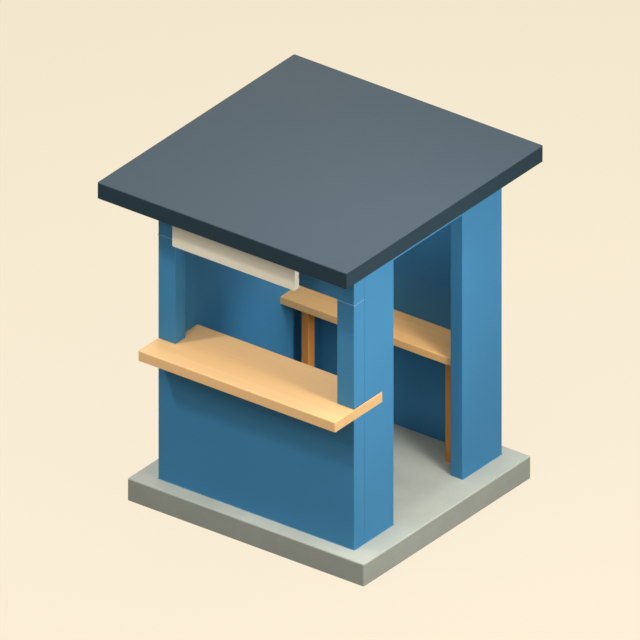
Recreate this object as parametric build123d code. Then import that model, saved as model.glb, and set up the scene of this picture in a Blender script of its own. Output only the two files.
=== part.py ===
from build123d import *
import os

# Street kiosk: a painted cabin on a concrete pad, with a serving hatch, a side doorway and a flat
# roof. Millimetres. The kiosk is drawn from the foot of the front wall's middle: +X to the right as
# seen from the street, +Y to the back, +Z up from the top of the pad. At the end every piece moves
# to the row's frame, whose origin is the middle of the whole kiosk at ground level.

# Cabin shell
CABIN_WIDTH = 1750
CABIN_DEPTH = 1760
FRONT_THICK = 120
SIDE_THICK = 108
BACK_THICK = 110
ARRIS = 4

# Concrete pad
PAD_THICK = 180
PAD_SIDE_MARGIN = 180
PAD_FRONT_MARGIN = 127
PAD_BACK_MARGIN = 103
PAD_EDGE_RADIUS = 12

# Openings
HATCH_HEAD = 2003
POST_WIDTH = 154
DOOR_START = 472
DOOR_WIDTH = 817
DOOR_HEAD = 2163

# Serving counter
COUNTER_TOP = 1150
COUNTER_THICK = 84
COUNTER_OUT = 233
COUNTER_IN = 334
COUNTER_PROUD = 4
COUNTER_NOSING = 7
THROAT_WIDTH = 10
THROAT_DEPTH = 6
THROAT_SETBACK = 25

# Worktop along the back wall
WORKTOP_TOP = 937
WORKTOP_THICK = 60
WORKTOP_FRONT = 1311
WORKTOP_ARRIS = 4
LEG_WIDTH = 62
LEG_DEPTH = 76
LEG_FRONT = 1436
LEG_INSET = 94
LEDGER_THICK = 38
LEDGER_HEIGHT = 70

# Roof
EAVES_HEIGHT = 2400
ROOF_THICK = 130
ROOF_SIDE_OVERHANG = 237
ROOF_FRONT_OVERHANG = 410
ROOF_BACK_OVERHANG = 174
ROOF_CORNER = 10
COVERING_THICK = 6
COVERING_NOSING = 5
FASCIA_THICK = 28
FASCIA_DRIP = 8
SOFFIT_THICK = 12
SOFFIT_TONGUE = 8

# Sign board under the front eaves
SIGN_WIDTH = 1097
SIGN_THICK = 47
SIGN_SETBACK = 269
SIGN_BOTTOM = 2132
SIGN_CORNER = 10
SIGN_ARRIS = 3
ANGLE_LEG = 50
ANGLE_THICK = 5
ANGLE_ROOT = 6
ANGLE_LENGTH = 120
ANGLE_OFFSET = 380

# Levels and places that follow from the sizes above
HALF_WIDTH = CABIN_WIDTH / 2
INNER_HALF = HALF_WIDTH - SIDE_THICK
BACK_INNER = CABIN_DEPTH - BACK_THICK
COUNTER_UNDER = COUNTER_TOP - COUNTER_THICK
WORKTOP_UNDER = WORKTOP_TOP - WORKTOP_THICK
SOFFIT_UNDER = EAVES_HEIGHT + FASCIA_DRIP
WALL_TOP = SOFFIT_UNDER + SOFFIT_THICK
FASCIA_TOP = EAVES_HEIGHT + ROOF_THICK - COVERING_THICK
DOOR_END = DOOR_START + DOOR_WIDTH
ROOF_WIDTH = CABIN_WIDTH + 2 * ROOF_SIDE_OVERHANG
ROOF_LENGTH = CABIN_DEPTH + ROOF_FRONT_OVERHANG + ROOF_BACK_OVERHANG
ROOF_MIDDLE = ROOF_LENGTH / 2 - ROOF_FRONT_OVERHANG
ROOF_FRONT_EDGE = -ROOF_FRONT_OVERHANG
ROOF_BACK_EDGE = CABIN_DEPTH + ROOF_BACK_OVERHANG
TO_ROW_FRAME = Pos(0, -ROOF_MIDDLE, PAD_THICK)


def block(x, y, z):
    """Box between two places along each axis, each given as a pair (low, high)."""
    size = [high - low for low, high in (x, y, z)]
    middle = [(high + low) / 2 for low, high in (x, y, z)]
    return Pos(*middle) * Box(*size)


def free_edges(solid):
    """The solid's edges, less those of a foot that stands on the pad."""
    return [edge for edge in solid.edges() if edge.center().Z > 0]


def eased(solid):
    """The solid with its free edges planed off at 45 degrees, like a painted panel's arrises."""
    return chamfer(free_edges(solid), ARRIS)


def base_slab():
    """Concrete pad, its top and corner edges rounded with an edging trowel and its foot left square."""
    half = HALF_WIDTH + PAD_SIDE_MARGIN
    pad = block((-half, half), (-PAD_FRONT_MARGIN, CABIN_DEPTH + PAD_BACK_MARGIN), (-PAD_THICK, 0))
    top_edges = pad.faces().sort_by(Axis.Z)[-1].edges()
    return fillet(pad.edges().filter_by(Axis.Z) + top_edges, PAD_EDGE_RADIUS)


def front_pieces():
    """The front, stacked: a panel up to the counter, posts standing on the counter, and a header."""
    across = (-HALF_WIDTH, HALF_WIDTH)
    deep = (0, FRONT_THICK)
    post_height = (COUNTER_TOP, HATCH_HEAD)
    return {
        "front_panel": eased(block(across, deep, (0, COUNTER_UNDER))),
        "front_post_left": eased(block((-HALF_WIDTH, -HALF_WIDTH + POST_WIDTH), deep, post_height)),
        "front_post_right": eased(block((HALF_WIDTH - POST_WIDTH, HALF_WIDTH), deep, post_height)),
        "front_header": eased(block(across, deep, (HATCH_HEAD, WALL_TOP))),
    }


def wall_elevation(start, end, foot=0):
    """Side wall seen from the side, from start to end along the cabin, less the counter's housing."""
    outline = Pos((start + end) / 2, (foot + WALL_TOP) / 2) * Rectangle(end - start, WALL_TOP - foot)
    housing_depth = COUNTER_IN - FRONT_THICK
    housing_middle = ((COUNTER_IN + FRONT_THICK) / 2, (COUNTER_TOP + COUNTER_UNDER) / 2)
    housing = Pos(*housing_middle) * Rectangle(housing_depth, COUNTER_THICK)
    return outline - housing


def side_piece(elevation, outer_face):
    """Side wall elevation given its thickness, with its outer face at outer_face."""
    inner_face = outer_face - SIDE_THICK if outer_face > 0 else outer_face
    return eased(extrude(Plane.YZ.offset(inner_face) * elevation, SIDE_THICK))


def side_walls():
    """Left wall in one piece, and the right wall split in front of, over and behind its doorway."""
    return {
        "left_wall": side_piece(wall_elevation(FRONT_THICK, CABIN_DEPTH), -HALF_WIDTH),
        "right_wall_front": side_piece(wall_elevation(FRONT_THICK, DOOR_START), HALF_WIDTH),
        "door_header": side_piece(wall_elevation(DOOR_START, DOOR_END, DOOR_HEAD), HALF_WIDTH),
        "right_wall_rear": side_piece(wall_elevation(DOOR_END, CABIN_DEPTH), HALF_WIDTH),
    }


def back_wall():
    """Back wall, which stands between the side walls."""
    return eased(block((-INNER_HALF, INNER_HALF), (BACK_INNER, CABIN_DEPTH), (0, WALL_TOP)))


def serving_counter():
    """Thick board through both side walls, with rounded edges and a throat under its street edge."""
    half = HALF_WIDTH + COUNTER_PROUD
    board = block((-half, half), (-COUNTER_OUT, COUNTER_IN), (COUNTER_UNDER, COUNTER_TOP))
    board = fillet(board.edges(), COUNTER_NOSING)
    throat_start = THROAT_SETBACK - COUNTER_OUT
    throat_length = (throat_start, throat_start + THROAT_WIDTH)
    throat_height = (COUNTER_UNDER - THROAT_DEPTH, COUNTER_UNDER + THROAT_DEPTH)
    return board - block((-half, half), throat_length, throat_height)


def worktop_pieces():
    """Board wall to wall along the back, on two legs in front and a ledger on the back wall."""
    inside = (-INNER_HALF, INNER_HALF)
    board = block(inside, (WORKTOP_FRONT, BACK_INNER), (WORKTOP_UNDER, WORKTOP_TOP))
    front_edges = board.edges().filter_by(Axis.X).sort_by(Axis.Y)[:2]
    ledger_depth = (BACK_INNER - LEDGER_THICK, BACK_INNER)
    ledger_height = (WORKTOP_UNDER - LEDGER_HEIGHT, WORKTOP_UNDER)
    pieces = {
        "back_counter_top": fillet(front_edges, WORKTOP_ARRIS),
        "back_counter_ledger": eased(block(inside, ledger_depth, ledger_height)),
    }
    leg_middle = INNER_HALF - LEG_INSET - LEG_WIDTH / 2
    for side, sign in (("left", -1), ("right", 1)):
        leg_x = (sign * leg_middle - LEG_WIDTH / 2, sign * leg_middle + LEG_WIDTH / 2)
        leg = block(leg_x, (LEG_FRONT, LEG_FRONT + LEG_DEPTH), (0, WORKTOP_UNDER))
        pieces[f"back_counter_leg_{side}"] = fillet(leg.edges().filter_by(Axis.Z), WORKTOP_ARRIS)
    return pieces


def fascia_section():
    """Fascia board cut across: a sloping drip below, and a groove that holds the soffit's edge."""
    board = Polyline(
        (0, EAVES_HEIGHT),
        (FASCIA_THICK, SOFFIT_UNDER),
        (FASCIA_THICK, FASCIA_TOP),
        (0, FASCIA_TOP),
        close=True,
    )
    groove_middle = (FASCIA_THICK - SOFFIT_TONGUE / 2, SOFFIT_UNDER + SOFFIT_THICK / 2)
    groove = Pos(*groove_middle) * Rectangle(SOFFIT_TONGUE, SOFFIT_THICK)
    return make_face(board) - groove


def roof_prism(inset, low, high):
    """Slab of the roof's outline between two levels, drawn in by inset."""
    width = (-ROOF_WIDTH / 2 + inset, ROOF_WIDTH / 2 - inset)
    length = (ROOF_FRONT_EDGE + inset, ROOF_BACK_EDGE - inset)
    return block(width, length, (low, high))


def rounded_corners(prism):
    """The slab with its four upright corners just rounded."""
    return fillet(prism.edges().filter_by(Axis.Z), ROOF_CORNER)


def fascia(half_run, distance, turn):
    """One fascia board, mitred at both ends, on the roof's edge at distance from the roof's middle."""
    board = extrude(Plane.YZ.offset(-half_run) * fascia_section(), 2 * half_run)
    mitred_plan = Polyline(
        (-half_run, 0),
        (half_run, 0),
        (half_run - FASCIA_THICK, FASCIA_THICK),
        (FASCIA_THICK - half_run, FASCIA_THICK),
        close=True,
    )
    board &= extrude(Plane.XY.offset(EAVES_HEIGHT) * make_face(mitred_plan), ROOF_THICK)
    placed = Pos(0, ROOF_MIDDLE) * Rot(0, 0, turn) * Pos(0, -distance) * board
    return placed & rounded_corners(roof_prism(0, EAVES_HEIGHT, FASCIA_TOP))


def roof_pieces():
    """Solid deck, sheet covering over the fascias, soffit boards round the walls, and a ceiling."""
    half = ROOF_WIDTH / 2
    half_length = ROOF_LENGTH / 2
    covering = rounded_corners(roof_prism(0, FASCIA_TOP, FASCIA_TOP + COVERING_THICK))
    top_edges = covering.faces().sort_by(Axis.Z)[-1].edges()
    level = (SOFFIT_UNDER, WALL_TOP)
    edge = FASCIA_THICK - SOFFIT_TONGUE
    across = (edge - half, half - edge)
    return {
        "roof_deck": roof_prism(FASCIA_THICK, WALL_TOP, FASCIA_TOP),
        "roof_covering": fillet(top_edges, COVERING_NOSING),
        "fascia_front": fascia(half, half_length, 0),
        "fascia_right": fascia(half_length, half, 90),
        "fascia_back": fascia(half, half_length, 180),
        "fascia_left": fascia(half_length, half, -90),
        "ceiling_board": block((-INNER_HALF, INNER_HALF), (FRONT_THICK, BACK_INNER), level),
        "soffit_front": block(across, (ROOF_FRONT_EDGE + edge, 0), level),
        "soffit_back": block(across, (CABIN_DEPTH, ROOF_BACK_EDGE - edge), level),
        "soffit_left": block((edge - half, -HALF_WIDTH), (0, CABIN_DEPTH), level),
        "soffit_right": block((HALF_WIDTH, half - edge), (0, CABIN_DEPTH), level),
    }


def sign_pieces():
    """Blank sign board under the front eaves, and the two steel angles behind it that hold it."""
    face = Plane.XZ.offset(SIGN_SETBACK - SIGN_THICK)
    height = SOFFIT_UNDER - SIGN_BOTTOM
    outline = Pos(0, SIGN_BOTTOM + height / 2) * Rectangle(SIGN_WIDTH, height)
    board = extrude(face * outline, SIGN_THICK)
    low_corners = board.edges().filter_by(Axis.Y).sort_by(Axis.Z)[:2]
    board = fillet(low_corners, SIGN_CORNER)
    board = fillet(board.faces().sort_by(Axis.Y)[0].edges(), SIGN_ARRIS)
    pieces = {"sign_board": board}
    back = -SIGN_SETBACK + SIGN_THICK
    section = make_face(Polyline(
        (back, SOFFIT_UNDER),
        (back + ANGLE_LEG, SOFFIT_UNDER),
        (back + ANGLE_LEG, SOFFIT_UNDER - ANGLE_THICK),
        (back + ANGLE_THICK, SOFFIT_UNDER - ANGLE_THICK),
        (back + ANGLE_THICK, SOFFIT_UNDER - ANGLE_LEG),
        (back, SOFFIT_UNDER - ANGLE_LEG),
        close=True,
    ))
    angle = extrude(Plane.YZ.offset(-ANGLE_LENGTH / 2) * section, ANGLE_LENGTH)
    root = (0, back + ANGLE_THICK, SOFFIT_UNDER - ANGLE_THICK)
    root_edge = angle.edges().filter_by(Axis.X).sort_by_distance(root)[0]
    angle = fillet(root_edge, ANGLE_ROOT)
    for side, sign in (("left", -1), ("right", 1)):
        pieces[f"sign_angle_{side}"] = Pos(sign * ANGLE_OFFSET, 0, 0) * angle
    return pieces


def kiosk():
    """Every piece of the kiosk by name, in the drawing's frame."""
    return {
        "base_slab": base_slab(),
        **front_pieces(),
        **side_walls(),
        "back_wall": back_wall(),
        "serving_counter": serving_counter(),
        **worktop_pieces(),
        **roof_pieces(),
        **sign_pieces(),
    }


os.makedirs("parts", exist_ok=True)
for name, piece in kiosk().items():
    export_step(TO_ROW_FRAME * piece, f"parts/{name}.step")
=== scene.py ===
import logging
import math
from dataclasses import dataclass, field
from enum import Enum
from typing import Any

import bmesh
import bpy
from mathutils import Matrix, Vector


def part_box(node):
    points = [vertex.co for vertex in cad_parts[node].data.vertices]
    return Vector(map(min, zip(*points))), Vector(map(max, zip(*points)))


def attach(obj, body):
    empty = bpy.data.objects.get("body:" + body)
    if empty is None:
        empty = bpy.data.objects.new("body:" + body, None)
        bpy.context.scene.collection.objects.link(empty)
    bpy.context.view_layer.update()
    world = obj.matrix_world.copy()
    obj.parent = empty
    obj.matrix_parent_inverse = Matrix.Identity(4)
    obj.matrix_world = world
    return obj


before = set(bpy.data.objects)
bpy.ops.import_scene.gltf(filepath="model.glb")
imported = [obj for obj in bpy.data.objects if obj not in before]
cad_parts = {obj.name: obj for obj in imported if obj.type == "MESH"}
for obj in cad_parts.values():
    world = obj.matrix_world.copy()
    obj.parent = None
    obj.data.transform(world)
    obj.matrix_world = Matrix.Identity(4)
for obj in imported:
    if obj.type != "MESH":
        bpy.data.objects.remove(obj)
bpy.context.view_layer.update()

# Street kiosk: the finish of every solid, its sealant and fixings, and a plain studio round it.
# Metres, in the row's frame: the origin is on the ground under the middle, +Z is up, and the street
# is at -Y.

LOG = logging.getLogger("kiosk")
MM = 0.001

# Sockets of the Mix node in its colour mode, whose names its other modes share
MIX_FIRST = 6
MIX_SECOND = 7
MIX_RESULT = 2


def linear(code: str) -> tuple[float, float, float, float]:
    """Turns an sRGB hex value into a linear colour.

    Args:
        code: colour as "#RRGGBB".

    Returns:
        Linear red, green and blue, and an alpha of one.
    """
    parts = [int(code[i : i + 2], 16) / 255 for i in (1, 3, 5)]
    red, green, blue = (p / 12.92 if p <= 0.04045 else ((p + 0.055) / 1.055) ** 2.4 for p in parts)
    return red, green, blue, 1.0


def per_metre(size_mm: float) -> float:
    """Turns the real size of a pattern's feature into a texture scale.

    Args:
        size_mm: width of one feature, in millimetres.

    Returns:
        Features in a metre, which is a texture's scale on Object coordinates.
    """
    return 1000.0 / size_mm


def add_node(
    tree: bpy.types.NodeTree, kind: str, inputs: dict[Any, Any] | None = None, **settings: Any
) -> bpy.types.Node:
    """Adds a shader node with its settings, values and links.

    Args:
        tree: node tree that gets the node.
        kind: the node's type name.
        inputs: for an input's name or number, a value to set or an output socket to link.
        **settings: the node's own properties.

    Returns:
        The new node.
    """
    node = tree.nodes.new(kind)
    for name, value in settings.items():
        setattr(node, name, value)
    for key, value in (inputs or {}).items():
        if isinstance(value, bpy.types.NodeSocket):
            tree.links.new(value, node.inputs[key])
        else:
            node.inputs[key].default_value = value
    return node


def rays_that_see(tree: bpy.types.NodeTree) -> bpy.types.NodeSocket:
    """Tells the rays that show a surface to the eye from those that only light other things.

    Args:
        tree: node tree that gets the nodes.

    Returns:
        One for camera, glossy and transmission rays, and zero for the others.
    """
    ray = add_node(tree, "ShaderNodeLightPath").outputs
    mirrored = add_node(
        tree,
        "ShaderNodeMath",
        {0: ray["Is Glossy Ray"], 1: ray["Is Transmission Ray"]},
        operation="MAXIMUM",
    ).outputs[0]
    return add_node(
        tree, "ShaderNodeMath", {0: ray["Is Camera Ray"], 1: mirrored}, operation="MAXIMUM"
    ).outputs[0]


class Run(Enum):
    """Axis of the row's frame, along which a grain runs or boards lie side by side."""

    X = (1, 0, 0)
    Y = (0, 1, 0)
    Z = (0, 0, 1)

    def stretched(self, along: float, across: float) -> tuple[float, ...]:
        """Texture scale for each axis: along on this one, and across on the other two."""
        return tuple(along if on else across for on in self.value)


@dataclass(frozen=True)
class Finish:
    """What every finish states, and how its material is put together."""

    name: str
    slot: str
    colour: str
    roughness: float
    specular: float

    def surface(self, tree: bpy.types.NodeTree) -> dict[str, Any]:
        """The shader's inputs for this finish; each kind of finish gives its own."""
        raise NotImplementedError

    def material(self) -> bpy.types.Material:
        """Makes the material, or gives the one already made.

        Returns:
            The material of this finish.
        """
        made = bpy.data.materials.get(self.name)
        if made is None:
            made = bpy.data.materials.new(self.name)
            made.use_nodes = True
            tree = made.node_tree
            tree.nodes.clear()
            inputs = {"Specular IOR Level": self.specular, **self.surface(tree)}
            shader = add_node(tree, "ShaderNodeBsdfPrincipled", inputs)
            add_node(tree, "ShaderNodeOutputMaterial", {"Surface": shader.outputs["BSDF"]})
        return made


@dataclass(frozen=True)
class RolledPaint(Finish):
    """Satin alkyd paint, rolled on: even colour, a soft sheen, a faint peel and a painted highlight
    on the arrises.

    The peel of a real roller is 2 to 4 mm across and is drawn at peel_mm, coarse enough to show.
    An arris is painted lighter as a highlight: it shows the highlight colour by arris_share at
    most, which it reaches where the rounded normal agrees with the flat one by arris_agreement or
    less.
    """

    arris_highlight_colour: str
    arris_share: float = 0.5
    arris_mm: float = 5.0
    arris_agreement: float = 0.8
    drift_mm: float = 500.0
    drift_swing: float = 0.06
    peel_mm: float = 14.0
    peel_depth_mm: float = 0.4
    sheen_swing: float = 0.05

    def surface(self, tree: bpy.types.NodeTree) -> dict[str, Any]:
        """Works out the paint's colour, sheen and relief.

        Args:
            tree: node tree of the material.

        Returns:
            Inputs of the shader.
        """
        place = add_node(tree, "ShaderNodeTexCoord").outputs["Object"]
        drift = add_node(
            tree,
            "ShaderNodeTexNoise",
            {"Vector": place, "Scale": per_metre(self.drift_mm), "Detail": 3.0},
        ).outputs["Fac"]
        peel = add_node(
            tree,
            "ShaderNodeTexNoise",
            {"Vector": place, "Scale": per_metre(self.peel_mm), "Detail": 2.0},
        ).outputs["Fac"]
        value = add_node(
            tree,
            "ShaderNodeMapRange",
            {"Value": drift, "To Min": 1 - self.drift_swing, "To Max": 1 + self.drift_swing},
        ).outputs["Result"]
        coat = add_node(
            tree, "ShaderNodeHueSaturation", {"Color": linear(self.colour), "Value": value}
        ).outputs["Color"]
        rounded = add_node(
            tree, "ShaderNodeBevel", {"Radius": self.arris_mm * MM}, samples=4
        ).outputs["Normal"]
        facing = add_node(tree, "ShaderNodeNewGeometry").outputs["Normal"]
        agreement = add_node(
            tree, "ShaderNodeVectorMath", {0: rounded, 1: facing}, operation="DOT_PRODUCT"
        ).outputs["Value"]
        # Painted highlight: the arrises are drawn lighter, towards the highlight colour.
        painted_arris_highlight = add_node(
            tree,
            "ShaderNodeMapRange",
            {
                "Value": agreement,
                "From Min": 1.0,
                "From Max": self.arris_agreement,
                "To Max": self.arris_share,
            },
        ).outputs["Result"]
        colour = add_node(
            tree,
            "ShaderNodeMix",
            {"Factor": painted_arris_highlight, MIX_FIRST: coat, MIX_SECOND: linear(self.arris_highlight_colour)},
            data_type="RGBA",
        ).outputs[MIX_RESULT]
        sheen = add_node(
            tree,
            "ShaderNodeMapRange",
            {
                "Value": peel,
                "To Min": self.roughness - self.sheen_swing,
                "To Max": self.roughness + self.sheen_swing,
            },
        ).outputs["Result"]
        relief = add_node(
            tree,
            "ShaderNodeBump",
            {
                "Height": peel,
                "Normal": rounded,
                "Strength": 0.25,
                "Distance": self.peel_depth_mm * MM,
            },
        ).outputs["Normal"]
        return {"Base Color": colour, "Roughness": sheen, "Normal": relief}


@dataclass(frozen=True)
class CastConcrete(Finish):
    """Concrete: a pale top with sides drawn darker as painted shade, clouds, sanded grain and air
    holes.

    Air holes of 2 to 4 mm are drawn up to about 7 mm wide, so that they show, and sand at
    sand_mm. hole_edge is the inner and outer radius of a hole's rim, as shares of its cell.
    """

    shaded_side_colour: str
    cloud_mm: float = 260.0
    cloud_swing: float = 0.14
    sand_mm: float = 9.0
    sand_swing: float = 0.07
    sand_depth_mm: float = 0.6
    hole_cell_mm: float = 55.0
    hole_edge: tuple[float, float] = (0.05, 0.08)
    hole_shade: float = 0.8
    hole_depth_mm: float = 1.5
    sheen_swing: float = 0.08

    def surface(self, tree: bpy.types.NodeTree) -> dict[str, Any]:
        """Works out the concrete's colour, roughness and relief.

        Args:
            tree: node tree of the material.

        Returns:
            Inputs of the shader.
        """
        place = add_node(tree, "ShaderNodeTexCoord").outputs["Object"]
        clouds = add_node(
            tree,
            "ShaderNodeTexNoise",
            {"Vector": place, "Scale": per_metre(self.cloud_mm), "Detail": 5.0, "Roughness": 0.6},
        ).outputs["Fac"]
        sand = add_node(
            tree,
            "ShaderNodeTexNoise",
            {"Vector": place, "Scale": per_metre(self.sand_mm), "Detail": 3.0, "Roughness": 0.7},
        ).outputs["Fac"]
        cells = add_node(
            tree, "ShaderNodeTexVoronoi", {"Vector": place, "Scale": per_metre(self.hole_cell_mm)}
        )
        hole = add_node(
            tree,
            "ShaderNodeMapRange",
            {
                "Value": cells.outputs["Distance"],
                "From Min": self.hole_edge[0],
                "From Max": self.hole_edge[1],
            },
        ).outputs["Result"]
        cloud_value = add_node(
            tree,
            "ShaderNodeMapRange",
            {"Value": clouds, "To Min": 1 - self.cloud_swing, "To Max": 1 + self.cloud_swing},
        ).outputs["Result"]
        sand_value = add_node(
            tree,
            "ShaderNodeMapRange",
            {"Value": sand, "To Min": 1 - self.sand_swing, "To Max": 1 + self.sand_swing},
        ).outputs["Result"]
        hole_value = add_node(
            tree, "ShaderNodeMapRange", {"Value": hole, "To Min": self.hole_shade, "To Max": 1.0}
        ).outputs["Result"]
        paste_value = add_node(
            tree, "ShaderNodeMath", {0: cloud_value, 1: sand_value}, operation="MULTIPLY"
        ).outputs[0]
        value = add_node(
            tree, "ShaderNodeMath", {0: paste_value, 1: hole_value}, operation="MULTIPLY"
        ).outputs[0]
        facing = add_node(tree, "ShaderNodeNewGeometry").outputs["Normal"]
        upward = add_node(tree, "ShaderNodeSeparateXYZ", {"Vector": facing}).outputs["Z"]
        # Painted shade: faces that turn away from up are drawn darker than the top.
        paste = add_node(
            tree,
            "ShaderNodeMix",
            {
                "Factor": upward,
                MIX_FIRST: linear(self.shaded_side_colour),
                MIX_SECOND: linear(self.colour),
            },
            data_type="RGBA",
        ).outputs[MIX_RESULT]
        colour = add_node(
            tree, "ShaderNodeHueSaturation", {"Color": paste, "Value": value}
        ).outputs["Color"]
        rough = add_node(
            tree,
            "ShaderNodeMapRange",
            {
                "Value": clouds,
                "To Min": self.roughness - self.sheen_swing,
                "To Max": self.roughness + self.sheen_swing,
            },
        ).outputs["Result"]
        grain = add_node(
            tree,
            "ShaderNodeBump",
            {"Height": sand, "Strength": 0.5, "Distance": self.sand_depth_mm * MM},
        ).outputs["Normal"]
        relief = add_node(
            tree,
            "ShaderNodeBump",
            {
                "Height": hole,
                "Normal": grain,
                "Strength": 0.6,
                "Distance": self.hole_depth_mm * MM,
            },
        ).outputs["Normal"]
        return {"Base Color": colour, "Roughness": rough, "Normal": relief}


@dataclass(frozen=True)
class RoofSheet(Finish):
    """Single-ply roof sheet, calendered and weathered: matt slate grey with a fine grit.

    A grit of about 1 mm is drawn at grit_mm, coarse enough to show.
    """

    weather_mm: float = 420.0
    grit_mm: float = 11.0
    grit_depth_mm: float = 0.5
    value_swing: float = 0.08
    sheen_swing: float = 0.06

    def surface(self, tree: bpy.types.NodeTree) -> dict[str, Any]:
        """Works out the sheet's colour, roughness and relief.

        Args:
            tree: node tree of the material.

        Returns:
            Inputs of the shader.
        """
        place = add_node(tree, "ShaderNodeTexCoord").outputs["Object"]
        weather = add_node(
            tree,
            "ShaderNodeTexNoise",
            {"Vector": place, "Scale": per_metre(self.weather_mm), "Detail": 4.0},
        ).outputs["Fac"]
        grit = add_node(
            tree,
            "ShaderNodeTexNoise",
            {"Vector": place, "Scale": per_metre(self.grit_mm), "Detail": 2.0, "Roughness": 0.8},
        ).outputs["Fac"]
        weather_value = add_node(
            tree,
            "ShaderNodeMapRange",
            {"Value": weather, "To Min": 1 - self.value_swing, "To Max": 1 + self.value_swing},
        ).outputs["Result"]
        grit_value = add_node(
            tree,
            "ShaderNodeMapRange",
            {"Value": grit, "To Min": 1 - self.value_swing, "To Max": 1 + self.value_swing},
        ).outputs["Result"]
        value = add_node(
            tree, "ShaderNodeMath", {0: weather_value, 1: grit_value}, operation="MULTIPLY"
        ).outputs[0]
        colour = add_node(
            tree, "ShaderNodeHueSaturation", {"Color": linear(self.colour), "Value": value}
        ).outputs["Color"]
        rough = add_node(
            tree,
            "ShaderNodeMapRange",
            {
                "Value": weather,
                "To Min": self.roughness - self.sheen_swing,
                "To Max": self.roughness + self.sheen_swing,
            },
        ).outputs["Result"]
        relief = add_node(
            tree,
            "ShaderNodeBump",
            {"Height": grit, "Strength": 0.35, "Distance": self.grit_depth_mm * MM},
        ).outputs["Normal"]
        return {"Base Color": colour, "Roughness": rough, "Normal": relief}


@dataclass(frozen=True)
class OiledWood(Finish):
    """Planed and oiled boards, glued edge to edge, each of its own tone, with darker end grain.

    Grain lines of 1 to 2 mm are drawn at line_mm, coarse enough to show. figure_mm and line_mm
    are lengths along the grain and across it. board_share is how much a board's own tone adds to
    its grain, and tone_range holds the sums that are palest and darkest.
    """

    dark_colour: str
    run: Run
    across: Run
    board_mm: float = 110.0
    board_share: float = 0.45
    figure_mm: tuple[float, float] = (900.0, 45.0)
    line_mm: tuple[float, float] = (300.0, 5.0)
    line_depth_mm: float = 0.3
    tone_range: tuple[float, float] = (0.6, 1.7)
    end_grain: float = 0.82
    sheen_swing: float = 0.06

    def surface(self, tree: bpy.types.NodeTree) -> dict[str, Any]:
        """Works out the wood's colour, sheen and relief.

        Args:
            tree: node tree of the material.

        Returns:
            Inputs of the shader.
        """
        place = add_node(tree, "ShaderNodeTexCoord").outputs["Object"]
        width_axis = add_node(
            tree,
            "ShaderNodeVectorMath",
            {0: place, 1: self.across.value},
            operation="DOT_PRODUCT",
        ).outputs["Value"]
        board = add_node(
            tree,
            "ShaderNodeMath",
            {0: width_axis, 1: self.board_mm * MM},
            operation="SNAP",
        ).outputs[0]
        tone = add_node(
            tree, "ShaderNodeTexWhiteNoise", {"W": board}, noise_dimensions="1D"
        ).outputs["Value"]
        shift = add_node(
            tree,
            "ShaderNodeVectorMath",
            {0: self.run.value, "Scale": tone},
            operation="SCALE",
        ).outputs["Vector"]
        shifted = add_node(
            tree, "ShaderNodeVectorMath", {0: place, 1: shift}, operation="ADD"
        ).outputs["Vector"]
        figure_place = add_node(
            tree,
            "ShaderNodeMapping",
            {"Vector": shifted, "Scale": self.run.stretched(*map(per_metre, self.figure_mm))},
        ).outputs["Vector"]
        figure = add_node(
            tree,
            "ShaderNodeTexNoise",
            {"Vector": figure_place, "Scale": 1.0, "Detail": 2.0, "Distortion": 0.6},
        ).outputs["Fac"]
        line_place = add_node(
            tree,
            "ShaderNodeMapping",
            {"Vector": shifted, "Scale": self.run.stretched(*map(per_metre, self.line_mm))},
        ).outputs["Vector"]
        lines = add_node(
            tree,
            "ShaderNodeTexNoise",
            {"Vector": line_place, "Scale": 1.0, "Detail": 4.0, "Roughness": 0.65},
        ).outputs["Fac"]
        grain = add_node(
            tree, "ShaderNodeMath", {0: figure, 1: lines}, operation="ADD"
        ).outputs[0]
        toned = add_node(
            tree,
            "ShaderNodeMath",
            {0: tone, 1: self.board_share, 2: grain},
            operation="MULTIPLY_ADD",
        ).outputs[0]
        depth = add_node(
            tree,
            "ShaderNodeMapRange",
            {"Value": toned, "From Min": self.tone_range[0], "From Max": self.tone_range[1]},
        ).outputs["Result"]
        planed = add_node(
            tree,
            "ShaderNodeMix",
            {
                "Factor": depth,
                MIX_FIRST: linear(self.colour),
                MIX_SECOND: linear(self.dark_colour),
            },
            data_type="RGBA",
        ).outputs[MIX_RESULT]
        facing = add_node(tree, "ShaderNodeNewGeometry").outputs["Normal"]
        endwise = add_node(
            tree, "ShaderNodeVectorMath", {0: facing, 1: self.run.value}, operation="DOT_PRODUCT"
        ).outputs["Value"]
        on_end = add_node(tree, "ShaderNodeMath", {0: endwise}, operation="ABSOLUTE").outputs[0]
        soaked = add_node(
            tree, "ShaderNodeMapRange", {"Value": on_end, "To Min": 1.0, "To Max": self.end_grain}
        ).outputs["Result"]
        colour = add_node(
            tree, "ShaderNodeHueSaturation", {"Color": planed, "Value": soaked}
        ).outputs["Color"]
        sheen = add_node(
            tree,
            "ShaderNodeMapRange",
            {
                "Value": lines,
                "To Min": self.roughness - self.sheen_swing,
                "To Max": self.roughness + self.sheen_swing,
            },
        ).outputs["Result"]
        relief = add_node(
            tree,
            "ShaderNodeBump",
            {"Height": lines, "Strength": 0.3, "Distance": self.line_depth_mm * MM},
        ).outputs["Normal"]
        return {"Base Color": colour, "Roughness": sheen, "Normal": relief}


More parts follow.
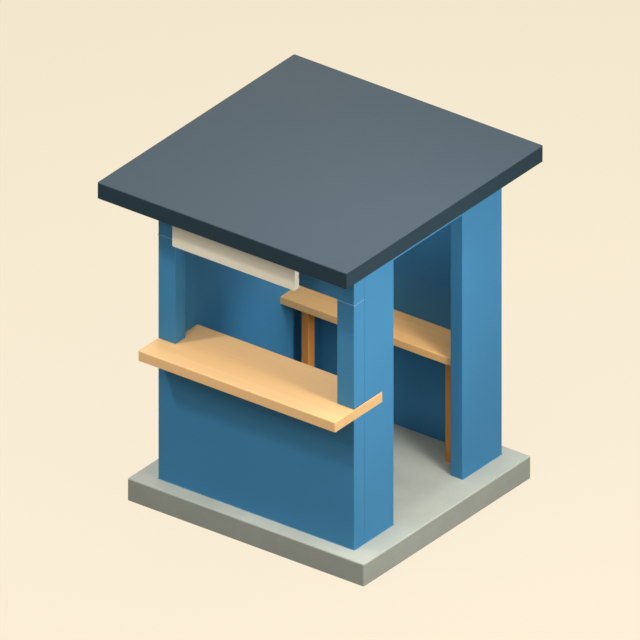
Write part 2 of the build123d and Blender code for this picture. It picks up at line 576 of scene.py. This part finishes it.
@dataclass(frozen=True)
class GalvanisedSteel(Finish):
    """Hot-dipped steel: a dull grey zinc skin with spangles that catch the light one by one."""

    spangle_mm: float = 9.0
    spangle_value: tuple[float, float] = (0.85, 1.1)
    sheen_swing: float = 0.1

    def surface(self, tree: bpy.types.NodeTree) -> dict[str, Any]:
        """Works out the zinc's colour and sheen.

        Args:
            tree: node tree of the material.

        Returns:
            Inputs of the shader.
        """
        place = add_node(tree, "ShaderNodeTexCoord").outputs["Object"]
        spangle = add_node(
            tree, "ShaderNodeTexVoronoi", {"Vector": place, "Scale": per_metre(self.spangle_mm)}
        ).outputs["Color"]
        value = add_node(
            tree,
            "ShaderNodeMapRange",
            {
                "Value": spangle,
                "To Min": self.spangle_value[0],
                "To Max": self.spangle_value[1],
            },
        ).outputs["Result"]
        colour = add_node(
            tree, "ShaderNodeHueSaturation", {"Color": linear(self.colour), "Value": value}
        ).outputs["Color"]
        sheen = add_node(
            tree,
            "ShaderNodeMapRange",
            {
                "Value": spangle,
                "To Min": self.roughness - self.sheen_swing,
                "To Max": self.roughness + self.sheen_swing,
            },
        ).outputs["Result"]
        return {"Base Color": colour, "Roughness": sheen, "Metallic": 1.0}


@dataclass(frozen=True)
class ToolFinishedSealant(Finish):
    """Joint sealant, smoothed with a tool: an even skin, slightly rippled, drawn pale as a painted
    highlight.
    """

    ripple_mm: float = 40.0
    ripple_swing: float = 0.05
    sheen_swing: float = 0.08

    def surface(self, tree: bpy.types.NodeTree) -> dict[str, Any]:
        """Works out the sealant's colour and sheen.

        Args:
            tree: node tree of the material.

        Returns:
            Inputs of the shader.
        """
        place = add_node(tree, "ShaderNodeTexCoord").outputs["Object"]
        ripple = add_node(
            tree, "ShaderNodeTexNoise", {"Vector": place, "Scale": per_metre(self.ripple_mm)}
        ).outputs["Fac"]
        value = add_node(
            tree,
            "ShaderNodeMapRange",
            {"Value": ripple, "To Min": 1 - self.ripple_swing, "To Max": 1 + self.ripple_swing},
        ).outputs["Result"]
        colour = add_node(
            tree, "ShaderNodeHueSaturation", {"Color": linear(self.colour), "Value": value}
        ).outputs["Color"]
        sheen = add_node(
            tree,
            "ShaderNodeMapRange",
            {
                "Value": ripple,
                "To Min": self.roughness - self.sheen_swing,
                "To Max": self.roughness + self.sheen_swing,
            },
        ).outputs["Result"]
        return {"Base Color": colour, "Roughness": sheen}


# The last colour of each paint is the painted highlight on its arrises.
BLUE_PAINT = RolledPaint("satin_alkyd_paint_blue", "blue_paint", "#3E7FA7", 0.5, 0.15, "#659BBB")
# Fascias, soffits and ceiling are painted darker than the roof sheet: painted shade on the roof's
# edges and underside.
SLATE_PAINT_PAINTED_SHADE = RolledPaint(
    "satin_alkyd_paint_slate_painted_shade", "fascia_paint", "#162B35", 0.55, 0.15, "#213541"
)
CREAM_PAINT = RolledPaint(
    "satin_alkyd_paint_cream",
    "sign_paint",
    "#E4DAC2",
    0.5,
    0.3,
    "#EEEDE6",
    arris_share=1.0,
    arris_mm=8.0,
)
CONCRETE = CastConcrete("floated_concrete", "concrete", "#B2B5A8", 0.85, 0.3, "#A0A296")
ROOF_SHEET = RoofSheet("calendered_roof_sheet", "roof_sheet", "#36444D", 0.6, 0.2)
COUNTER_WOOD = OiledWood(
    "oiled_ash_boards", "counter_wood", "#F4C58C", 0.5, 0.3, "#EBBA7B", Run.X, Run.Y
)
WORKTOP_WOOD = OiledWood(
    "oiled_ash_worktop", "worktop_wood", "#FFCB86", 0.5, 0.3, "#F8B972", Run.X, Run.Y
)
# Stained pine drawn paler than it is: painted light that makes up for light the legs and ledger
# lack under the worktop.
LEG_WOOD_PAINTED_LIGHT = OiledWood("stained_pine_painted_light", "leg_wood", "#F5A14F", 0.55, 0.3, "#DB8B3B", Run.Z, Run.X)
# Real sealant bead; its pale colour is a painted highlight along the post joints.
SEALANT_PAINTED_HIGHLIGHT = ToolFinishedSealant("tooled_joint_sealant_painted_highlight", "blue_paint", "#6E9EBB", 0.5, 0.3)
ZINC = GalvanisedSteel("galvanised_steel", "galvanised_steel", "#A9AEB0", 0.45, 0.5)


def new_piece(name: str, shape: bmesh.types.BMesh, finish: Finish) -> bpy.types.Object:
    """Makes a finished piece that rides on the kiosk.

    Args:
        name: the piece's name.
        shape: its shape in the row's frame, which is freed.
        finish: its finish.

    Returns:
        The new object, at the origin.
    """
    bmesh.ops.recalc_face_normals(shape, faces=shape.faces)
    mesh = bpy.data.meshes.new(name)
    shape.to_mesh(mesh)
    shape.free()
    mesh.materials.append(finish.material())
    piece = bpy.data.objects.new(name, mesh)
    bpy.context.scene.collection.objects.link(piece)
    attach(piece, "root")
    LOG.info("%s: %d faces", name, len(mesh.polygons))
    return piece


def joined(shapes: list[bmesh.types.BMesh]) -> bmesh.types.BMesh:
    """Puts several shapes into one.

    Args:
        shapes: the shapes, which are freed.

    Returns:
        One shape with all of them.
    """
    whole = bmesh.new()
    for shape in shapes:
        part = bpy.data.meshes.new("part")
        shape.to_mesh(part)
        shape.free()
        whole.from_mesh(part)
        bpy.data.meshes.remove(part)
    return whole


@dataclass(frozen=True)
class ScrewHead:
    """Pan head of a wood screw; its socket is too small to show six sides and is made round."""

    radius: float = 5.0 * MM
    height: float = 3.0 * MM
    edge: float = 1.2 * MM
    edge_segments: int = 3
    socket_radius: float = 2.2 * MM
    socket_depth: float = 1.6 * MM
    segments: int = 24

    def shape(self) -> bmesh.types.BMesh:
        """Models the head with its seat at the origin and its top towards +Z.

        Returns:
            The head's shape.
        """
        head = bmesh.new()
        bmesh.ops.create_cone(
            head,
            cap_ends=True,
            segments=self.segments,
            radius1=self.radius,
            radius2=self.radius,
            depth=self.height,
            matrix=Matrix.Translation((0, 0, self.height / 2)),
        )
        rim = [e for e in head.edges if all(v.co.z > self.height / 2 for v in e.verts)]
        bmesh.ops.bevel(
            head,
            geom=rim,
            offset=self.edge,
            offset_type="OFFSET",
            segments=self.edge_segments,
            profile=0.5,
            affect="EDGES",
            material=-1,
        )
        top = max(head.faces, key=lambda face: (face.calc_center_median().z, face.calc_area()))
        inset = self.radius - self.edge - self.socket_radius
        bmesh.ops.inset_region(head, faces=[top], thickness=inset, use_even_offset=True)
        sunk = bmesh.ops.extrude_face_region(head, geom=[top])["geom"]
        floor = [v for v in sunk if isinstance(v, bmesh.types.BMVert)]
        bmesh.ops.delete(head, geom=[top], context="FACES_ONLY")
        bmesh.ops.translate(head, verts=floor, vec=(0, 0, -self.socket_depth))
        return head

    def at(self, places: list[Matrix]) -> bmesh.types.BMesh:
        """Repeats the head at several places.

        Args:
            places: where each head sits, its +Z turned outwards.

        Returns:
            All the heads as one shape.
        """
        heads = []
        for place in places:
            head = self.shape()
            bmesh.ops.transform(head, matrix=place, verts=head.verts)
            heads.append(head)
        return joined(heads)


@dataclass(frozen=True)
class Bead:
    """Round bead of sealant, laid along straight runs and mitred where they meet."""

    radius: float = 4.0 * MM
    segments: int = 12

    def along(self, corners: list[Vector]) -> bmesh.types.BMesh:
        """Lays the bead through level corners, its free ends cut square.

        Args:
            corners: the bead's ends and corners, in order.

        Returns:
            The bead's shape, one closed length for each run.
        """
        runs = [(b - a).normalized() for a, b in zip(corners, corners[1:])]
        lengths = []
        for index, run in enumerate(runs):
            start, end = corners[index], corners[index + 1]
            cuts = []
            if index > 0:
                start = start - run * self.radius
                cuts.append((corners[index], -run - runs[index - 1]))
            if index < len(runs) - 1:
                end = end + run * self.radius
                cuts.append((corners[index + 1], run + runs[index + 1]))
            lengths.append(self._length(start, end, cuts))
        return joined(lengths)

    def _length(
        self, start: Vector, end: Vector, cuts: list[tuple[Vector, Vector]]
    ) -> bmesh.types.BMesh:
        """Makes one straight length.

        Args:
            start: middle of its first end.
            end: middle of its last end.
            cuts: for each mitre, a point on it and the direction of the part that is cut off.

        Returns:
            The length's shape.
        """
        length = bmesh.new()
        turned = (end - start).to_track_quat("Z", "Y").to_matrix().to_4x4()
        bmesh.ops.create_cone(
            length,
            cap_ends=True,
            segments=self.segments,
            radius1=self.radius,
            radius2=self.radius,
            depth=(end - start).length,
            matrix=Matrix.Translation((start + end) / 2) @ turned,
        )
        for point, away in cuts:
            cut = bmesh.ops.bisect_plane(
                length,
                geom=length.verts[:] + length.edges[:] + length.faces[:],
                plane_co=point,
                plane_no=away,
                clear_outer=True,
            )["geom_cut"]
            rim = [part for part in cut if isinstance(part, bmesh.types.BMEdge)]
            bmesh.ops.edgenet_fill(length, edges=rim)
        return length


@dataclass
class SubAssembly:
    """Solids that are made together, with the finish of each."""

    finishes: dict[str, Finish]

    def dress(self) -> None:
        """Gives each solid its finish."""
        for node, finish in self.finishes.items():
            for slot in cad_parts[node].material_slots:
                slot.material = finish.material()
            LOG.info("%s: %s", node, finish.name)

    def build(self) -> None:
        """Makes the pieces that the solids leave to this script; most groups have none."""


@dataclass
class Cabin(SubAssembly):
    """Painted walls, posts and headers, sealed to the pad."""

    finishes: dict[str, Finish] = field(
        default_factory=lambda: dict.fromkeys(
            (
                "front_panel",
                "front_post_left",
                "front_post_right",
                "front_header",
                "left_wall",
                "right_wall_front",
                "door_header",
                "right_wall_rear",
                "back_wall",
            ),
            BLUE_PAINT,
        )
    )
    bead: Bead = Bead()
    joint_inset: float = 1.5 * MM
    joint_drop: float = 3.0 * MM

    def build(self) -> None:
        """Seals the foot of the walls outside, and the joints between the posts and the header."""
        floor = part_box("base_slab")[1].z
        left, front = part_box("front_panel")[0].xy
        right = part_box("front_panel")[1].x
        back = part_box("back_wall")[1].y
        door_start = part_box("right_wall_front")[1].y
        door_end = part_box("right_wall_rear")[0].y
        corners = [
            Vector((right, door_start, floor)),
            Vector((right, front, floor)),
            Vector((left, front, floor)),
            Vector((left, back, floor)),
            Vector((right, back, floor)),
            Vector((right, door_end, floor)),
        ]
        new_piece("wall_foot_sealant", self.bead.along(corners), BLUE_PAINT)
        joints = [self._post_joint(node) for node in ("front_post_left", "front_post_right")]
        # The post joints' bead is drawn pale: a painted highlight along the joint.
        new_piece("post_joint_sealant", joined(joints), SEALANT_PAINTED_HIGHLIGHT)

    def _post_joint(self, node: str) -> bmesh.types.BMesh:
        """Fills the groove between a post and the header, over the front and the outer side.

        Args:
            node: the post.

        Returns:
            The bead in that groove.
        """
        low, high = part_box(node)
        outer, inner = (low.x, high.x) if low.x < 0 else (high.x, low.x)
        depth = self.joint_inset
        outer += depth if outer < 0 else -depth
        front = low.y + depth
        level = high.z - self.joint_drop
        corners = [
            Vector((inner, front, level)),
            Vector((outer, front, level)),
            Vector((outer, high.y, level)),
        ]
        return self.bead.along(corners)


@dataclass
class Pad(SubAssembly):
    """Concrete pad."""

    finishes: dict[str, Finish] = field(default_factory=lambda: {"base_slab": CONCRETE})


@dataclass
class Counter(SubAssembly):
    """Serving counter."""

    finishes: dict[str, Finish] = field(default_factory=lambda: {"serving_counter": COUNTER_WOOD})


@dataclass
class Worktop(SubAssembly):
    """Worktop at the back, its legs, and its ledger screwed to the back wall."""

    finishes: dict[str, Finish] = field(
        default_factory=lambda: {
            "back_counter_top": WORKTOP_WOOD,
            "back_counter_ledger": LEG_WOOD_PAINTED_LIGHT,
            "back_counter_leg_left": LEG_WOOD_PAINTED_LIGHT,
            "back_counter_leg_right": LEG_WOOD_PAINTED_LIGHT,
        }
    )
    screw: ScrewHead = ScrewHead()
    screw_count: int = 5
    end_distance: float = 110.0 * MM

    def build(self) -> None:
        """Screws the ledger to the wall in one row of evenly spaced heads."""
        low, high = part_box("back_counter_ledger")
        span = high.x - low.x - 2 * self.end_distance
        face_out = Matrix.Rotation(math.radians(90), 4, "X")
        places = []
        for index in range(self.screw_count):
            x = low.x + self.end_distance + span * index / (self.screw_count - 1)
            seat = Vector((x, low.y, (low.z + high.z) / 2))
            places.append(Matrix.Translation(seat) @ face_out)
        new_piece("ledger_screws", self.screw.at(places), ZINC)


@dataclass
class Roof(SubAssembly):
    """Roof sheet, fascias, soffits and ceiling."""

    finishes: dict[str, Finish] = field(
        default_factory=lambda: {
            "roof_covering": ROOF_SHEET,
            **dict.fromkeys(
                (
                    "roof_deck",
                    "fascia_front",
                    "fascia_right",
                    "fascia_back",
                    "fascia_left",
                    "ceiling_board",
                    "soffit_front",
                    "soffit_back",
                    "soffit_left",
                    "soffit_right",
                ),
                SLATE_PAINT_PAINTED_SHADE,
            ),
        }
    )


@dataclass
class Sign(SubAssembly):
    """Blank sign board, hung from the soffit by two steel angles with two screws in each leg."""

    finishes: dict[str, Finish] = field(
        default_factory=lambda: {
            "sign_board": CREAM_PAINT,
            "sign_angle_left": ZINC,
            "sign_angle_right": ZINC,
        }
    )
    screw: ScrewHead = ScrewHead()
    angle_thick: float = 5.0 * MM
    end_distance: float = 25.0 * MM
    edge_distance: float = 18.0 * MM

    def build(self) -> None:
        """Screws each angle up into the soffit and forwards into the board's back."""
        face_down = Matrix.Rotation(math.radians(180), 4, "X")
        face_back = Matrix.Rotation(math.radians(-90), 4, "X")
        places = []
        for node in ("sign_angle_left", "sign_angle_right"):
            low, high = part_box(node)
            for x in (low.x + self.end_distance, high.x - self.end_distance):
                under = Vector((x, high.y - self.edge_distance, high.z - self.angle_thick))
                behind = Vector((x, low.y + self.angle_thick, low.z + self.edge_distance))
                places.append(Matrix.Translation(under) @ face_down)
                places.append(Matrix.Translation(behind) @ face_back)
        new_piece("sign_screws", self.screw.at(places), ZINC)


@dataclass
class Floor:
    """Plain pale floor: cream to the eye, with the kiosk's shadow kept faint.

    The cream darkens a little towards the far left, a painted shade: away points there, and fade is
    where the change starts and ends. shown is the share of the even cream that hides the lamps'
    pools.
    """

    half_size: float = 30.0
    drop: float = 0.5 * MM
    colour: str = "#F9ECD4"
    shaded_far_colour: str = "#F3E8CD"
    away: tuple[float, float, float] = (-0.75, 0.66, 0.0)
    fade: tuple[float, float] = (0.0, 9.0)
    bounce_colour: str = "#6C6C66"
    shown: float = 0.95

    def build(self) -> None:
        """Lays the floor."""
        shape = bmesh.new()
        bmesh.ops.create_grid(
            shape,
            x_segments=1,
            y_segments=1,
            size=self.half_size,
            matrix=Matrix.Translation((0, 0, -self.drop)),
        )
        mesh = bpy.data.meshes.new("floor")
        shape.to_mesh(mesh)
        shape.free()
        mesh.materials.append(self.material())
        floor = bpy.data.objects.new("floor", mesh)
        bpy.context.scene.collection.objects.link(floor)
        LOG.info("floor laid")

    def material(self) -> bpy.types.Material:
        """Makes a cream that looks evenly pale, and lights the kiosk only as bounce_colour would.

        Returns:
            The floor's material.
        """
        made = bpy.data.materials.new("studio_floor")
        made.use_nodes = True
        tree = made.node_tree
        tree.nodes.clear()
        seen = rays_that_see(tree)
        place = add_node(tree, "ShaderNodeTexCoord").outputs["Object"]
        distance = add_node(
            tree, "ShaderNodeVectorMath", {0: place, 1: self.away}, operation="DOT_PRODUCT"
        ).outputs["Value"]
        fading = add_node(
            tree,
            "ShaderNodeMapRange",
            {"Value": distance, "From Min": self.fade[0], "From Max": self.fade[1]},
            interpolation_type="SMOOTHSTEP",
        ).outputs["Result"]
        cream = add_node(
            tree,
            "ShaderNodeMix",
            {
                "Factor": fading,
                MIX_FIRST: linear(self.colour),
                MIX_SECOND: linear(self.shaded_far_colour),
            },
            data_type="RGBA",
        ).outputs[MIX_RESULT]
        share = add_node(
            tree, "ShaderNodeMath", {0: seen, 1: self.shown}, operation="MULTIPLY"
        ).outputs[0]
        ground = add_node(
            tree,
            "ShaderNodeMix",
            {"Factor": seen, MIX_FIRST: linear(self.bounce_colour), MIX_SECOND: cream},
            data_type="RGBA",
        ).outputs[MIX_RESULT]
        matt = add_node(tree, "ShaderNodeBsdfDiffuse", {"Color": ground}).outputs["BSDF"]
        even = add_node(tree, "ShaderNodeEmission", {"Color": cream}).outputs["Emission"]
        mixed = add_node(tree, "ShaderNodeMixShader", {0: share, 1: matt, 2: even}).outputs[0]
        add_node(tree, "ShaderNodeOutputMaterial", {"Surface": mixed})
        return made


@dataclass(frozen=True)
class SoftBox:
    """Square studio lamp, aimed at a point on the kiosk."""

    name: str
    place: tuple[float, float, float]
    aim: tuple[float, float, float]
    size: float
    watts: float

    def build(self) -> None:
        """Hangs the lamp."""
        light = bpy.data.lights.new(self.name, "AREA")
        light.shape = "SQUARE"
        light.size = self.size
        light.energy = self.watts
        lamp = bpy.data.objects.new(self.name, light)
        lamp.location = self.place
        lamp.rotation_mode = "QUATERNION"
        lamp.rotation_quaternion = (lamp.location - Vector(self.aim)).to_track_quat("Z", "Y")
        lamp.visible_camera = False
        bpy.context.scene.collection.objects.link(lamp)


@dataclass
class Studio:
    """Lamps, a white sky that fades to nothing at the horizon, and a plain cream backdrop."""

    lamps: tuple[SoftBox, ...] = (
        SoftBox("key_left", (-2.8, -3.8, 6.25), (-0.9, -1.0, 1.25), 0.5, 132.0),
        SoftBox("key_right", (5.2, -0.9, 5.1), (0.5, 0.0, 1.4), 0.9, 112.0),
        SoftBox("right_low", (4.6, -1.1, 2.85), (0.5, 0.0, 1.9), 1.1, 96.0),
        SoftBox("doorway_low", (3.4, -0.2, 2.3), (0.0, 0.2, 1.3), 1.2, 12.0),
        SoftBox("front_high", (0.5, -4.5, 5.5), (0.5, 0.0, 1.4), 2.0, 95.0),
        SoftBox("overhead", (1.5, -0.05, 5.3), (0.3, 0.0, 2.7), 2.0, 84.0),
        SoftBox("back_fill", (-3.5, 4.5, 4.5), (0.0, 0.0, 1.2), 2.5, 57.0),
        SoftBox("inside_fill", (0.0, 0.35, 2.5), (0.0, 0.6, 0.0), 0.9, 6.9),
    )
    sky_colour: str = "#FFFFFF"
    sky_strength: float = 1.0
    backdrop_colour: str = "#F3E9CF"

    def build(self) -> None:
        """Hangs the lamps and lights the world."""
        for lamp in self.lamps:
            lamp.build()
        world = bpy.data.worlds.new("studio")
        world.use_nodes = True
        tree = world.node_tree
        tree.nodes.clear()
        seen = rays_that_see(tree)
        toward = add_node(tree, "ShaderNodeTexCoord").outputs["Generated"]
        height = add_node(tree, "ShaderNodeSeparateXYZ", {"Vector": toward}).outputs["Z"]
        strength = add_node(
            tree, "ShaderNodeMapRange", {"Value": height, "To Max": self.sky_strength}
        ).outputs["Result"]
        sky = add_node(
            tree,
            "ShaderNodeBackground",
            {"Color": linear(self.sky_colour), "Strength": strength},
        ).outputs[0]
        backdrop = add_node(
            tree, "ShaderNodeBackground", {"Color": linear(self.backdrop_colour)}
        ).outputs[0]
        mixed = add_node(tree, "ShaderNodeMixShader", {0: seen, 1: sky, 2: backdrop})
        add_node(tree, "ShaderNodeOutputWorld", {"Surface": mixed.outputs[0]})
        bpy.context.scene.world = world
        bpy.context.scene.view_settings.view_transform = "Standard"
        LOG.info("studio: %d lamps", len(self.lamps))


@dataclass
class View:
    """Camera with no perspective, from the front and the right, as the photograph is taken.

    The front wall's right foot lies corner_right and corner_down from the picture's middle.
    """

    azimuth: float = 36.87
    elevation: float = 29.3
    photo_pixels: float = 640.0
    pixels_per_metre: float = 140.0
    corner_right: float = 0.2440
    corner_down: float = 1.6454
    distance: float = 14.0

    def build(self) -> None:
        """Places the camera so that the front wall's right foot lies as in the photograph."""
        turn, lift = math.radians(self.azimuth), math.radians(self.elevation)
        right = Vector((math.cos(turn), math.sin(turn), 0))
        level = Vector((math.sin(turn), -math.cos(turn), 0))
        back = level * math.cos(lift) + Vector((0, 0, math.sin(lift)))
        up = back.cross(right)
        panel_low, panel_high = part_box("front_panel")
        corner = Vector((panel_high.x, panel_low.y, panel_low.z))
        middle = corner - right * self.corner_right + up * self.corner_down
        lens = bpy.data.cameras.new("camera")
        lens.type = "ORTHO"
        lens.ortho_scale = self.photo_pixels / self.pixels_per_metre
        camera = bpy.data.objects.new("camera", lens)
        camera.location = middle + back * self.distance
        camera.rotation_mode = "QUATERNION"
        camera.rotation_quaternion = back.to_track_quat("Z", "Y")
        bpy.context.scene.collection.objects.link(camera)
        bpy.context.scene.camera = camera
        LOG.info("camera at %s", tuple(round(c, 3) for c in camera.location))


def main() -> None:
    """Builds the camera, the studio and the kiosk's groups in order."""
    logging.basicConfig(level=logging.INFO, format="%(name)s %(message)s")
    View().build()
    Studio().build()
    Floor().build()
    for group in (Pad(), Cabin(), Counter(), Worktop(), Roof(), Sign()):
        group.build()
        group.dress()


if __name__ == "__main__":
    main()
